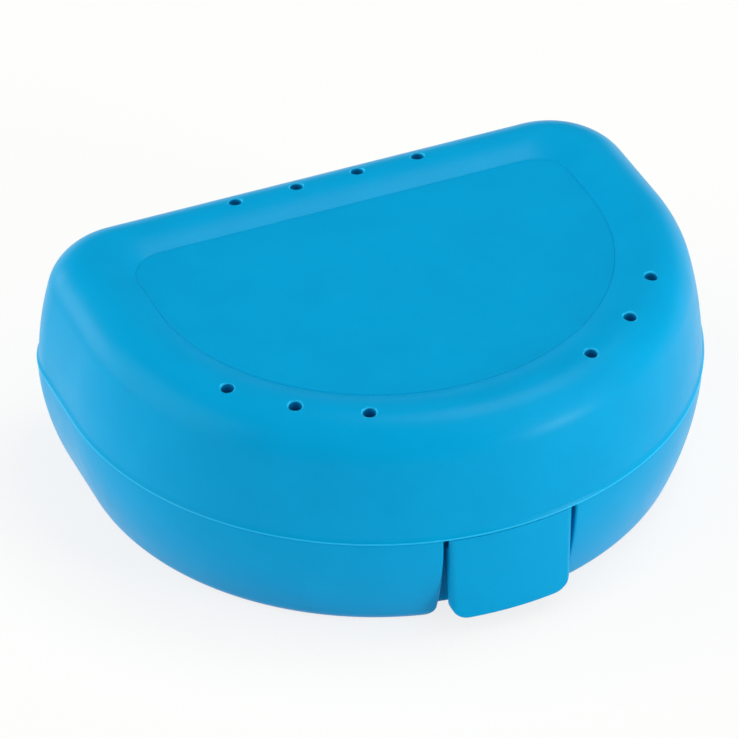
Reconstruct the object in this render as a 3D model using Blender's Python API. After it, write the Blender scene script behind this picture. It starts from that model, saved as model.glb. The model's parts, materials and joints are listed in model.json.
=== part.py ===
"""Retainer case: a D-shaped base, a domed vented lid on a back hinge, and a thumb latch at the round front.

Lengths are in metres. +Z is up, +Y is towards the hinge, and +X is to the right, seen from the latch.
The origin lies on the underside's plane, below the middle of the rim outline.

Every horizontal section of the case is the same D outline drawn in by an inset, so a wall is described by
pairs of inset and height.
"""

import math

import bmesh
import bpy
from mathutils import Vector

# Rim outline, seen from above
CASE_WIDTH = 0.0800
CASE_DEPTH = 0.0617
FRONT_REACH = 0.0394            # semi-axis of the rounded front, front to back
BACK_CORNER_RADIUS = 0.0121

# Heights above the table
CASE_HEIGHT = 0.0285
PARTING_HEIGHT = 0.01385

# Clearances and small edges
SEAT_GAP = 0.0003               # between pieces that rest on or beside each other
EDGE_ROUND = 0.0002
OVERRUN = 0.0020                # how far a cutter runs past what it cuts
MERGE_DISTANCE = 0.000001

# Lid
LID_WALL = 0.0016
LID_RIM_WALL = 0.0009           # the wall where it passes outside the base's lip
FLANGE_PROUD = 0.0003
FLANGE_HEIGHT = 0.0006
LID_LOW_DRAFT = math.radians(2.5)
LID_HIGH_DRAFT = math.radians(14.8)
SHOULDER_HEIGHT = 0.0043        # from the top of the drafted wall to the crest
CREST_INSET = 0.0072
PANEL_INSET = 0.01125
PANEL_DROP = 0.00116
PANEL_CORNER_RADIUS = 0.0048
PANEL_SLOPE_POWER = 1.7

# Vent holes on the lid's crest
VENT_RADIUS = 0.0008
VENT_INSET = 0.0066
VENT_BACK_PITCH = 0.00814
VENT_BACK_COUNT = 4
VENT_FRONT_START = math.radians(25.1)   # measured from the front's middle
VENT_FRONT_STEP = math.radians(15.0)
VENT_FRONT_COUNT = 3                    # on each side

# Base
BASE_WALL = 0.0016
BASE_FLOOR = 0.0016
BASE_RIM_INSET = 0.0001
BASE_SWEEP = 0.0025             # how far the wall curves in on its way down
BASE_SWEEP_POWER = 1.9
BASE_ROUND = 0.0015             # height and inset of the rounded bottom edge
FLOOR_FILLET = 0.0030
LIP_INSET = 0.0015
LIP_WALL = 0.00085
LIP_HEIGHT = 0.0022

# Latch recess in the base
RECESS_SIDE_PLAY = 0.0003       # on each side of the tab
RECESS_SIDE_DRAFT = math.radians(1.2)
RECESS_INSET = 0.0054           # of the recess's back wall
RECESS_OUTER_FILLET = 0.0003
RECESS_INNER_FILLET = 0.0010
RECESS_FILLET_SHARE = 0.85      # most of the recess's depth that its fillets may take
RECESS_CORNER_RADIUS = 0.0021   # where its sides meet the underside
RECESS_BACK_ROUND = 0.0008
RECESS_WALL = 0.0016
RECESS_ROOF = 0.0015            # thickness at its front edge
RECESS_ROOF_SLOPE = 0.0006      # how much thicker it is at the back wall
RECESS_ROOF_INSET = 0.0034      # of the roof's front edge, where the lip stands on it
CATCH_HALF_WIDTH = 0.0055
CATCH_LOW = 0.0070
CATCH_TIP_HEIGHT = 0.0005

# Latch tab
TAB_HALF_WIDTH = 0.0079
TAB_WALL = 0.0016
TAB_ROOT_WALL = 0.0008
TAB_ROOT_HEIGHT = 0.0012
TAB_FACE_LEAN = 0.0004          # how far the face stands out past the rim at the bottom
TAB_SIDE_DRAFT = 0.00024        # how much narrower each side is at the bottom
TAB_BOTTOM = 0.0020
TAB_CORNER_RADIUS = 0.0022
TAB_SIDE_ROUND = 0.0006
HOOK_HALF_WIDTH = 0.0050
HOOK_OVERLAP = 0.0007           # how far the hook reaches under the catch
HOOK_PLAY = 0.0005              # between the hook's top and the catch
HOOK_TIP_HEIGHT = 0.0007

# Hinge
HINGE_OUT = 0.0029              # from the back of the rim to the hinge's axis
KNUCKLE_RADIUS = 0.0021
KNUCKLE_HALF_WIDTH = 0.0127
EAR_WIDTH = 0.0040
EAR_LOW = 0.0050
EAR_TOP_DROP = 0.0014           # from the base's rim to the top of the ear's root
ARM_LOW_RISE = 0.0016           # from the lid's rim to the bottom of the arm's root
ARM_HEIGHT = 0.0045
PIN_RADIUS = 0.0010

# Roundness of the built shape
CONIC_WEIGHT = 0.75
FRONT_STEPS = 36
CORNER_STEPS = 8
WALL_STEPS = 5
SHOULDER_STEPS = 8
SLOPE_STEPS = 4
FILLET_STEPS = 4
TAB_STEPS = 6
HOLE_SIDES = 16
BARREL_STEPS = 20
SHARP_ANGLE = math.radians(35.0)
HALF = 0.5

PLASTIC_BLUE = (0.0, 0.34, 0.71, 1.0)
PLASTIC_ROUGHNESS = 0.42

HALF_WIDTH = CASE_WIDTH * HALF
BACK_Y = CASE_DEPTH * HALF
FRONT_Y = -CASE_DEPTH * HALF
FRONT_CENTRE_Y = FRONT_Y + FRONT_REACH
BASE_TOP = PARTING_HEIGHT - SEAT_GAP * HALF
LID_BOTTOM = PARTING_HEIGHT + SEAT_GAP * HALF
REBATE_TOP = BASE_TOP + LIP_HEIGHT + SEAT_GAP
HINGE_Y = BACK_Y + HINGE_OUT
HINGE_Z = PARTING_HEIGHT
TAB_TOP = LID_BOTTOM - SEAT_GAP
RECESS_HALF_WIDTH = TAB_HALF_WIDTH + RECESS_SIDE_PLAY   # at the bottom
LATCH_AXIS_Y = FRONT_Y + TAB_ROOT_WALL * HALF


def clear_scene():
    """Remove what the file already holds."""
    for old in list(bpy.data.objects):
        bpy.data.objects.remove(old, do_unlink=True)


def make_collection(name):
    group = bpy.data.collections.new(name)
    bpy.context.scene.collection.children.link(group)
    return group


def plastic(name):
    """Satin moulded polypropylene."""
    material = bpy.data.materials.new(name)
    material.use_nodes = True
    shader = material.node_tree.nodes["Principled BSDF"]
    shader.inputs["Base Color"].default_value = PLASTIC_BLUE
    shader.inputs["Roughness"].default_value = PLASTIC_ROUGHNESS
    shader.inputs["Metallic"].default_value = 0.0
    return material


def conic(start, corner, end, steps):
    """Points of a round corner between two lines that meet at corner, without its start."""
    points = []
    for step in range(1, steps + 1):
        t = step / steps
        first = (1 - t) ** 2
        middle = 2 * CONIC_WEIGHT * t * (1 - t)
        last = t * t
        whole = first + middle + last
        pairs = zip(start, corner, end)
        points.append(tuple((first * a + middle * b + last * c) / whole for a, b, c in pairs))
    return points


def outline(inset, height):
    """The D outline drawn in by inset, counter-clockwise from the back right corner's side end."""
    half_width = HALF_WIDTH - inset
    corner = max(BACK_CORNER_RADIUS - inset, PANEL_CORNER_RADIUS)
    corner_y = BACK_Y - inset - corner
    points = []
    for side, start in ((1, 0.0), (-1, math.pi * HALF)):
        for step in range(CORNER_STEPS + 1):
            angle = start + step / CORNER_STEPS * math.pi * HALF
            x = side * (half_width - corner) + corner * math.cos(angle)
            points.append(Vector((x, corner_y + corner * math.sin(angle), height)))
    for step in range(FRONT_STEPS + 1):
        turn = math.pi * (step / FRONT_STEPS - HALF)
        y = FRONT_CENTRE_Y - (FRONT_REACH - inset) * math.cos(turn)
        points.append(Vector((half_width * math.sin(turn), y, height)))
    return points


def front_y(inset, x):
    """Where the front curve, drawn in by inset, stands at x."""
    share = x / (HALF_WIDTH - inset)
    return FRONT_CENTRE_Y - (FRONT_REACH - inset) * math.sqrt(1 - share * share)


def loft(name, sections):
    """A closed solid through sections of equal point counts, with both ends capped."""
    mesh = bpy.data.meshes.new(name)
    build = bmesh.new()
    rows = [[build.verts.new(point) for point in section] for section in sections]
    for lower, upper in zip(rows, rows[1:]):
        for index in range(len(lower)):
            after = (index + 1) % len(lower)
            build.faces.new((lower[index], lower[after], upper[after], upper[index]))
    build.faces.new(rows[0][::-1])
    build.faces.new(rows[-1])
    bmesh.ops.recalc_face_normals(build, faces=build.faces)
    build.to_mesh(mesh)
    build.free()
    return bpy.data.objects.new(name, mesh)


def front_sweep(name, profile, stations):
    """A profile of inset and height pairs carried along the front curve through the stations in x."""
    sections = [[Vector((x, front_y(inset, x), z)) for inset, z in profile] for x in stations]
    return loft(name, sections)


def even_stations(half_width):
    return [half_width * (2 * step / TAB_STEPS - 1) for step in range(TAB_STEPS + 1)]


def combine(target, tool, operation, group):
    """Boolean one solid into another, and keep the tool as a hidden cutter."""
    group.objects.link(tool)
    tool.hide_render = True
    tool.display_type = "WIRE"
    change = target.modifiers.new(tool.name, "BOOLEAN")
    change.operation = operation
    change.object = tool
    change.solver = "EXACT"


def lid_draft(height):
    """The outer wall's lean at a height, growing steadily from rim to shoulder."""
    start = LID_BOTTOM + FLANGE_HEIGHT
    rise = CASE_HEIGHT - SHOULDER_HEIGHT - start
    return LID_LOW_DRAFT + (LID_HIGH_DRAFT - LID_LOW_DRAFT) * (height - start) / rise


def lid_wall_inset(height):
    """The outer wall's inset at a height, from the lean summed on the way up."""
    start = LID_BOTTOM + FLANGE_HEIGHT
    rise = CASE_HEIGHT - SHOULDER_HEIGHT - start
    bend = (LID_HIGH_DRAFT - LID_LOW_DRAFT) / rise
    lean = lid_draft(height)
    return FLANGE_PROUD + (math.log(math.cos(LID_LOW_DRAFT)) - math.log(math.cos(lean))) / bend


def panel_slope(share):
    """Inset and height on the way from the crest in to the sunk panel."""
    inset = CREST_INSET + (PANEL_INSET - CREST_INSET) * share
    return inset, CASE_HEIGHT - PANEL_DROP * share ** PANEL_SLOPE_POWER


def lid_outer_profile():
    start = LID_BOTTOM + FLANGE_HEIGHT
    wall_top = CASE_HEIGHT - SHOULDER_HEIGHT
    points = [(EDGE_ROUND, LID_BOTTOM), (0.0, LID_BOTTOM + EDGE_ROUND)]
    points.append((0.0, start - FLANGE_PROUD))
    for step in range(WALL_STEPS + 1):
        height = start + (wall_top - start) * step / WALL_STEPS
        points.append((lid_wall_inset(height), height))
    wall_end = points[-1]
    reach = wall_end[0] + math.tan(LID_HIGH_DRAFT) * SHOULDER_HEIGHT
    points += conic(wall_end, (reach, CASE_HEIGHT), (CREST_INSET, CASE_HEIGHT), SHOULDER_STEPS)
    points += [panel_slope(step / SLOPE_STEPS) for step in range(1, SLOPE_STEPS + 1)]
    return points


def drawn_in(points, distance):
    """A profile moved square to itself, towards the inside."""
    moved = []
    for index, point in enumerate(points):
        before = points[max(index - 1, 0)]
        after = points[min(index + 1, len(points) - 1)]
        along = Vector((after[0] - before[0], after[1] - before[1])).normalized()
        moved.append((point[0] + along.y * distance, point[1] - along.x * distance))
    return moved


def lid_inner_profile():
    """From the rim's inner edge, up past the rebate for the base's lip, to the ceiling."""
    rebate_inset = FLANGE_PROUD + LID_RIM_WALL
    step_inset = lid_wall_inset(REBATE_TOP) + LID_WALL / math.cos(lid_draft(REBATE_TOP))
    points = [(rebate_inset, LID_BOTTOM), (rebate_inset, REBATE_TOP), (step_inset, REBATE_TOP)]
    upper = [point for point in lid_outer_profile()[:-1] if point[1] > REBATE_TOP]
    points += [point for point in drawn_in(upper, LID_WALL) if point[1] > REBATE_TOP]
    points.append((PANEL_INSET, CASE_HEIGHT - PANEL_DROP - LID_WALL))
    return points


def vent_places():
    """Plan places of the vent holes: a straight row at the back and a curved row on each side of the front."""
    places = []
    for index in range(VENT_BACK_COUNT):
        x = (index - (VENT_BACK_COUNT - 1) * HALF) * VENT_BACK_PITCH
        places.append((x, BACK_Y - VENT_INSET))
    for side in (-1, 1):
        for index in range(VENT_FRONT_COUNT):
            angle = VENT_FRONT_START + index * VENT_FRONT_STEP
            x = side * (HALF_WIDTH - VENT_INSET) * math.sin(angle)
            y = FRONT_CENTRE_Y - (FRONT_REACH - VENT_INSET) * math.cos(angle)
            places.append((x, y))
    return places


def rod(name, radius, start, end, sides):
    """A closed cylinder between two points."""
    mesh = bpy.data.meshes.new(name)
    build = bmesh.new()
    length = (end - start).length
    bmesh.ops.create_cone(build, cap_ends=True, segments=sides, radius1=radius, radius2=radius, depth=length)
    turn = (end - start).to_track_quat("Z", "Y").to_matrix().to_4x4()
    turn.translation = (start + end) * HALF
    bmesh.ops.transform(build, matrix=turn, verts=build.verts)
    build.to_mesh(mesh)
    build.free()
    return bpy.data.objects.new(name, mesh)


def tangent_angle(point, side):
    """Angle on the knuckle's circle where a line from the point touches it."""
    away = Vector((point[0] - HINGE_Y, point[1] - HINGE_Z))
    return math.atan2(away.y, away.x) + side * math.acos(KNUCKLE_RADIUS / away.length)


def hinge_plate(name, low, high, x_from, x_to):
    """A plate across the hinge line: a round knuckle with straight flanks to a root at low and high."""
    first = tangent_angle(low, 1)
    last = tangent_angle(high, -1)
    while last < first:
        last += math.tau
    points = [high, low]
    for step in range(BARREL_STEPS + 1):
        angle = first + (last - first) * step / BARREL_STEPS
        y = HINGE_Y + KNUCKLE_RADIUS * math.cos(angle)
        points.append((y, HINGE_Z + KNUCKLE_RADIUS * math.sin(angle)))
    curve = bpy.data.curves.new(name, "CURVE")
    curve.dimensions = "2D"
    curve.fill_mode = "BOTH"
    curve.extrude = abs(x_to - x_from) * HALF
    spline = curve.splines.new("POLY")
    spline.points.add(len(points) - 1)
    spline.use_cyclic_u = True
    for target, (y, z) in zip(spline.points, points):
        target.co = (y, z, 0.0, 1.0)
    flat = bpy.data.objects.new(name, curve)
    flat.rotation_euler = (math.pi * HALF, 0.0, math.pi * HALF)
    flat.location = ((x_from + x_to) * HALF, 0.0, 0.0)
    return as_mesh_object(flat)


def as_mesh_object(source):
    """Replace a curve object by a welded mesh object in the same place."""
    scene_objects = bpy.context.scene.collection.objects
    scene_objects.link(source)
    evaluated = source.evaluated_get(bpy.context.evaluated_depsgraph_get())
    mesh = bpy.data.meshes.new_from_object(evaluated)
    mesh.transform(source.matrix_world)
    build = bmesh.new()
    build.from_mesh(mesh)
    bmesh.ops.remove_doubles(build, verts=build.verts, dist=MERGE_DISTANCE)
    bmesh.ops.recalc_face_normals(build, faces=build.faces)
    build.to_mesh(mesh)
    build.free()
    name = source.name
    bpy.data.objects.remove(source, do_unlink=True)
    return bpy.data.objects.new(name, mesh)


def base_wall_inset(height):
    """The base's outer wall: nearly upright at the rim, curving in towards the bottom."""
    share = (BASE_TOP - height) / (BASE_TOP - BASE_ROUND)
    return BASE_RIM_INSET + BASE_SWEEP * min(max(share, 0.0), 1.0) ** BASE_SWEEP_POWER


def base_outer_profile():
    wall_foot = (base_wall_inset(BASE_ROUND), BASE_ROUND)
    slope = BASE_SWEEP * BASE_SWEEP_POWER / (BASE_TOP - BASE_ROUND)
    corner = (wall_foot[0] + slope * BASE_ROUND, 0.0)
    floor_edge = (wall_foot[0] + BASE_ROUND, 0.0)
    points = conic(wall_foot, corner, floor_edge, FILLET_STEPS)[::-1]
    points.append(wall_foot)
    top = BASE_TOP - EDGE_ROUND
    for step in range(1, WALL_STEPS + 1):
        height = BASE_ROUND + (top - BASE_ROUND) * step / WALL_STEPS
        points.append((base_wall_inset(height), height))
    points.append((BASE_RIM_INSET + EDGE_ROUND, BASE_TOP))
    return points


def base_inner_inset(height):
    return max(LIP_INSET + LIP_WALL, base_wall_inset(height) + BASE_WALL)


def base_inner_profile():
    """Up the lip's outside, over its top, and down the inner wall to the floor."""
    lip_top = BASE_TOP + LIP_HEIGHT
    points = [(LIP_INSET, BASE_TOP), (LIP_INSET, lip_top - EDGE_ROUND), (LIP_INSET + EDGE_ROUND, lip_top)]
    points.append((LIP_INSET + LIP_WALL - EDGE_ROUND, lip_top))
    points.append((LIP_INSET + LIP_WALL, lip_top - EDGE_ROUND))
    low = BASE_FLOOR + FLOOR_FILLET
    for step in range(WALL_STEPS + 1):
        height = BASE_TOP + (low - BASE_TOP) * step / WALL_STEPS
        points.append((base_inner_inset(height), height))
    wall_foot = points[-1]
    corner = (base_inner_inset(BASE_FLOOR), BASE_FLOOR)
    points += conic(wall_foot, corner, (corner[0] + FLOOR_FILLET, BASE_FLOOR), FILLET_STEPS)
    return points


def recess_half_width(height):
    return RECESS_HALF_WIDTH + math.tan(RECESS_SIDE_DRAFT) * max(height, 0.0)


def round_off(radius, height):
    """How far a wall draws back at a height, where it meets the underside in a round."""
    lift = radius - min(max(height, 0.0), radius)
    return radius - math.sqrt(radius * radius - lift * lift)


def skin_inset(height):
    """The base's outer skin at any height, its rounded bottom edge included."""
    if height >= BASE_ROUND:
        return base_wall_inset(height)
    profile = base_outer_profile()
    for (inset_a, height_a), (inset_b, height_b) in zip(profile, profile[1:]):
        if height_a <= height <= height_b:
            share = (height - height_a) / (height_b - height_a)
            return inset_a + (inset_b - inset_a) * share
    return profile[0][0]


def recess_section(back_inset, height):
    """One level of the recess cutter: back wall, inner fillets, sides, outer fillets and the open front."""
    half_width = recess_half_width(height) + round_off(RECESS_CORNER_RADIUS, height)
    back = back_inset + round_off(RECESS_BACK_ROUND, height)
    room = (back - skin_inset(height)) * RECESS_FILLET_SHARE
    limit = min(room / (RECESS_OUTER_FILLET + RECESS_INNER_FILLET), 1.0)
    fillet = RECESS_OUTER_FILLET * limit
    inner = RECESS_INNER_FILLET * limit
    right = []
    straight = half_width - inner
    for step in range(FILLET_STEPS + 1):
        x = straight * step / FILLET_STEPS
        right.append((x, front_y(back, x)))
    back_y = right[-1][1]
    for step in range(1, FILLET_STEPS + 1):
        angle = math.pi * HALF * (1 - step / FILLET_STEPS)
        right.append((straight + inner * math.cos(angle), back_y - inner + inner * math.sin(angle)))
    skin = skin_inset(height) + fillet
    centre_x = half_width + fillet
    centre_y = front_y(skin, centre_x)
    pull_x = centre_x / (HALF_WIDTH - skin) ** 2
    pull_y = (centre_y - FRONT_CENTRE_Y) / (FRONT_REACH - skin) ** 2
    end_angle = math.tau + math.atan2(pull_y, pull_x)
    for step in range(FILLET_STEPS + 1):
        angle = math.pi + (end_angle - math.pi) * step / FILLET_STEPS
        right.append((centre_x + fillet * math.cos(angle), centre_y + fillet * math.sin(angle)))
    outer = fillet + OVERRUN
    right.append((centre_x + outer * math.cos(end_angle), centre_y + outer * math.sin(end_angle)))
    right.append((0.0, FRONT_Y - 2 * OVERRUN))
    left = [(-x, y) for x, y in right[1:-1]]
    return [Vector((x, y, height)) for x, y in right + left[::-1]]


def recess_cutter():
    """The recess as a solid: deep below its sloping roof, and a slot for the tab in front of the roof."""
    roof_front = BASE_TOP - RECESS_ROOF
    roof_back = roof_front - RECESS_ROOF_SLOPE
    levels = [-OVERRUN]
    for step in range(2 * FILLET_STEPS):
        angle = math.pi * HALF * step / (2 * FILLET_STEPS)
        levels.append(RECESS_CORNER_RADIUS * (1 - math.cos(angle)))
    low = RECESS_CORNER_RADIUS
    levels += [low + (roof_back - low) * step / WALL_STEPS for step in range(WALL_STEPS + 1)]
    sections = [recess_section(RECESS_INSET, height) for height in levels]
    for height in (roof_front, BASE_TOP, BASE_TOP + LIP_HEIGHT + OVERRUN):
        sections.append(recess_section(RECESS_ROOF_INSET, height))
    return loft("latch_recess", sections)


def recess_housing():
    """The wall round the recess, inside the base. Its top lies just under the rim's."""
    floor = BASE_FLOOR * HALF
    top = BASE_TOP - EDGE_ROUND * HALF
    heights = [top + (floor - top) * step / WALL_STEPS for step in range(WALL_STEPS + 1)]
    inner = RECESS_INSET + RECESS_WALL
    profile = [(skin_inset(height) + BASE_WALL * HALF, height) for height in heights]
    profile += [(inner, floor), (inner, top)]
    return front_sweep("recess_housing", profile, even_stations(recess_half_width(BASE_TOP) + RECESS_WALL))


def lip_block():
    """The lip round the tab's slot, solid as yet: the slot is cut through it together with the recess."""
    outer = LIP_INSET + LIP_WALL * HALF
    inner = RECESS_ROOF_INSET + LIP_WALL
    foot = BASE_TOP - RECESS_ROOF * HALF
    top = BASE_TOP + LIP_HEIGHT - EDGE_ROUND * HALF
    profile = [(outer, foot), (inner, foot), (inner, top), (outer, top)]
    return front_sweep("lip_block", profile, even_stations(recess_half_width(BASE_TOP) + LIP_WALL))


def catch_ridge():
    """The ridge on the recess's back wall that holds the hook down. Its top slopes at 45 degrees."""
    bury = RECESS_INSET + RECESS_WALL * HALF
    tip = RECESS_ROOF_INSET
    top = CATCH_LOW + CATCH_TIP_HEIGHT + bury - tip
    profile = [(bury, CATCH_LOW), (tip, CATCH_LOW), (tip, CATCH_LOW + CATCH_TIP_HEIGHT), (bury, top)]
    return front_sweep("catch_ridge", profile, even_stations(CATCH_HALF_WIDTH))


def hinge_root(inset_at, height, wall):
    """A point in the middle of a wall at the back."""
    return BACK_Y - inset_at(height) - wall * HALF, height


def make_base(parts, cutters):
    sections = [outline(inset, height) for inset, height in base_outer_profile() + base_inner_profile()]
    base = loft("base", sections)
    parts.objects.link(base)
    combine(base, recess_housing(), "UNION", cutters)
    combine(base, lip_block(), "UNION", cutters)
    combine(base, recess_cutter(), "DIFFERENCE", cutters)
    combine(base, catch_ridge(), "UNION", cutters)
    low = hinge_root(base_wall_inset, EAR_LOW, BASE_WALL)
    high = hinge_root(base_wall_inset, BASE_TOP - EAR_TOP_DROP, BASE_WALL)
    ear_start = KNUCKLE_HALF_WIDTH + SEAT_GAP
    for side in (-1, 1):
        ear = hinge_plate("hinge_ear", low, high, side * ear_start, side * (ear_start + EAR_WIDTH))
        combine(base, ear, "UNION", cutters)
    hole_end = ear_start + EAR_WIDTH + OVERRUN
    axis = Vector((0.0, HINGE_Y, HINGE_Z))
    reach = Vector((hole_end, 0.0, 0.0))
    hole = rod("pin_hole", PIN_RADIUS + SEAT_GAP, axis - reach, axis + reach, BARREL_STEPS)
    combine(base, hole, "DIFFERENCE", cutters)
    return base


def make_lid(parts, cutters):
    sections = [outline(inset, height) for inset, height in lid_inner_profile()[::-1] + lid_outer_profile()]
    lid = loft("lid", sections)
    parts.objects.link(lid)
    low = hinge_root(lid_wall_inset, LID_BOTTOM + ARM_LOW_RISE, LID_RIM_WALL)
    high = hinge_root(lid_wall_inset, low[1] + ARM_HEIGHT, LID_RIM_WALL)
    arm = hinge_plate("hinge_arm", low, high, -KNUCKLE_HALF_WIDTH, KNUCKLE_HALF_WIDTH)
    combine(lid, arm, "UNION", cutters)
    reach = Vector((KNUCKLE_HALF_WIDTH + EAR_WIDTH, 0.0, 0.0))
    axis = Vector((0.0, HINGE_Y, HINGE_Z))
    combine(lid, rod("stub_pins", PIN_RADIUS, axis - reach, axis + reach, BARREL_STEPS), "UNION", cutters)
    bottom = CASE_HEIGHT - PANEL_DROP - LID_WALL - OVERRUN
    for x, y in vent_places():
        start = Vector((x, y, bottom))
        end = Vector((x, y, CASE_HEIGHT + OVERRUN))
        combine(lid, rod("vent", VENT_RADIUS, start, end, HOLE_SIDES), "DIFFERENCE", cutters)
    return lid


def tab_profile(bottom, draw):
    """The tab's section: a face that leans out, and inside a thin root that widens to the full wall.

    Near the tab's sides the section is drawn in by draw, which rounds them.
    """
    lean = TAB_FACE_LEAN * (TAB_TOP - bottom) / (TAB_TOP - TAB_BOTTOM)
    root = max(TAB_ROOT_WALL - draw, TAB_ROOT_WALL * HALF)
    root_low = TAB_TOP - TAB_ROOT_HEIGHT
    widened = root_low - TAB_WALL + TAB_ROOT_WALL
    points = [(min(draw, root * HALF), TAB_TOP), (draw - lean, bottom), (TAB_WALL - draw - lean, bottom)]
    points += [(TAB_WALL - draw, widened), (root, root_low), (root, TAB_TOP)]
    return points


def tab_sections():
    """Sections of the tab from left to right, lifted near the sides to round its lower corners."""
    flat = TAB_HALF_WIDTH - TAB_CORNER_RADIUS
    right = []
    for step in range(TAB_STEPS, 0, -1):
        angle = math.pi * HALF * step / TAB_STEPS
        reach = TAB_CORNER_RADIUS * math.sin(angle)
        over = max(reach - TAB_CORNER_RADIUS + TAB_SIDE_ROUND, 0.0)
        draw = TAB_SIDE_ROUND - math.sqrt(TAB_SIDE_ROUND * TAB_SIDE_ROUND - over * over)
        right.append((flat + reach, TAB_BOTTOM + TAB_CORNER_RADIUS * (1 - math.cos(angle)), draw))
    middle = [(x, TAB_BOTTOM, 0.0) for x in even_stations(flat)]
    stations = [(-x, bottom, draw) for x, bottom, draw in right] + middle + right[::-1]
    sections = []
    for x, bottom, draw in stations:
        section = []
        for inset, z in tab_profile(bottom, draw):
            narrowing = TAB_SIDE_DRAFT * (TAB_TOP - z) / (TAB_TOP - TAB_BOTTOM)
            place = x * (1 - narrowing / TAB_HALF_WIDTH)
            section.append(Vector((place, front_y(inset, place), z)))
        sections.append(section)
    return sections


def latch_hook():
    """The hook on the tab's inner face, under the catch ridge. Its underside slopes at 45 degrees."""
    bury = TAB_WALL * HALF
    tip = RECESS_ROOF_INSET + HOOK_OVERLAP
    top = CATCH_LOW - HOOK_PLAY
    tip_low = top - HOOK_TIP_HEIGHT
    profile = [(bury, tip_low - tip + bury), (tip, tip_low), (tip, top), (bury, top)]
    return front_sweep("latch_hook", profile, even_stations(HOOK_HALF_WIDTH))


def make_latch_tab(parts, cutters):
    tab = loft("latch_tab", tab_sections())
    parts.objects.link(tab)
    combine(tab, latch_hook(), "UNION", cutters)
    place_origin(tab, Vector((0.0, LATCH_AXIS_Y, TAB_TOP)))
    return tab


def place_origin(piece, place):
    """Put a piece's origin on its joint's axis without moving the piece."""
    for vertex in piece.data.vertices:
        vertex.co -= place
    piece.location = place


def shade(piece):
    piece.data.shade_smooth()
    piece.data.set_sharp_from_angle(angle=SHARP_ANGLE)


def main():
    clear_scene()
    parts = make_collection("retainer_case")
    cutters = make_collection("cutters")
    base = make_base(parts, cutters)
    lid = make_lid(parts, cutters)
    tab = make_latch_tab(parts, cutters)
    place_origin(lid, Vector((0.0, HINGE_Y, HINGE_Z)))
    for piece, finish in ((base, "base_plastic"), (lid, "lid_plastic"), (tab, "tab_plastic")):
        piece.data.materials.append(plastic(finish))
        shade(piece)


main()
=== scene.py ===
"""Looks of the retainer case: its three mouldings as fine meshes, satin plastic, light and camera.

Lengths are in metres. +Z is up, +Y is towards the hinge, and +X is to the right, seen from the latch.
Overall sizes come from the frame. Every level section of the case is the same D outline, drawn in by
an inset, so a wall is described by pairs of inset and height.
"""

import json
import math

import bmesh
import bpy
from mathutils import Matrix, Vector


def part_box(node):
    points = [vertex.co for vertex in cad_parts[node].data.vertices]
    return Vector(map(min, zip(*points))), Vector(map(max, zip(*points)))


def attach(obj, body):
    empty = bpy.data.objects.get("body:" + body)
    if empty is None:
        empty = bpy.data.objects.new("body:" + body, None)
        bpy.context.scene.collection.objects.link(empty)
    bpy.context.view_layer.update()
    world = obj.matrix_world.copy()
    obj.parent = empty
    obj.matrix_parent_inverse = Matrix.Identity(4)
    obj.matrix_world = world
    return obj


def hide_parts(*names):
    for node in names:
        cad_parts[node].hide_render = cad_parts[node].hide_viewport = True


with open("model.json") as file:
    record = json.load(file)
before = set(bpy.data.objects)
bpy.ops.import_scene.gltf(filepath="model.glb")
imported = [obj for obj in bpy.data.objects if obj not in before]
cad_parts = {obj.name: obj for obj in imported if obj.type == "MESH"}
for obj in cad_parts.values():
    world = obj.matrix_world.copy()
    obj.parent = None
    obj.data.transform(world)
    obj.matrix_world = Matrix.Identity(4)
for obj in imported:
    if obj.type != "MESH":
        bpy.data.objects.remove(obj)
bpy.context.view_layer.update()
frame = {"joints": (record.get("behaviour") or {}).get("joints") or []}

HALF = 0.5
QUARTER_TURN = math.pi * HALF

# Overall sizes, from the frame
LID_LOW, LID_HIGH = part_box("lid")
TAB_LOW, TAB_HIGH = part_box("latch_tab")
JOINTS = {joint["name"]: joint for joint in frame["joints"]}
HALF_WIDTH = LID_HIGH.x
FRONT_Y = LID_LOW.y
BACK_Y = -FRONT_Y
CASE_HEIGHT = LID_HIGH.z
TAB_BOTTOM = TAB_LOW.z
TAB_HALF_WIDTH = TAB_HIGH.x
HINGE_Y = JOINTS["lid_hinge"]["pos_m"][1]
HINGE_Z = JOINTS["lid_hinge"]["pos_m"][2]

# Outline, clearances and fine rounds
FRONT_REACH = 0.0394            # semi-axis of the rounded front, front to back
FRONT_CENTRE_Y = FRONT_Y + FRONT_REACH
BACK_CORNER_RADIUS = 0.0121
PANEL_CORNER_RADIUS = 0.0048    # an outline that is drawn in far keeps at least this at its back corners
SEAT_GAP = 0.0003               # clearance between mouldings
SEAM = 0.00008                  # the joint as it shows at the rim
BASE_TOP = TAB_HIGH.z + (SEAT_GAP - SEAM) * HALF
LID_BOTTOM = BASE_TOP + SEAM
TAB_TOP = BASE_TOP
OVERRUN = 0.0020                # how far a cutter reaches past what it cuts
EDGE_ROUND = 0.0002
RIM_ROUND = 0.0001
FINE_ROUND = 0.00012
FLAT_BORDER = 0.0004            # a ring inside the edge of a flat face, which keeps its shading flat
CONIC_WEIGHT = 0.75             # fullness of the rounds that aren't circular

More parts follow.
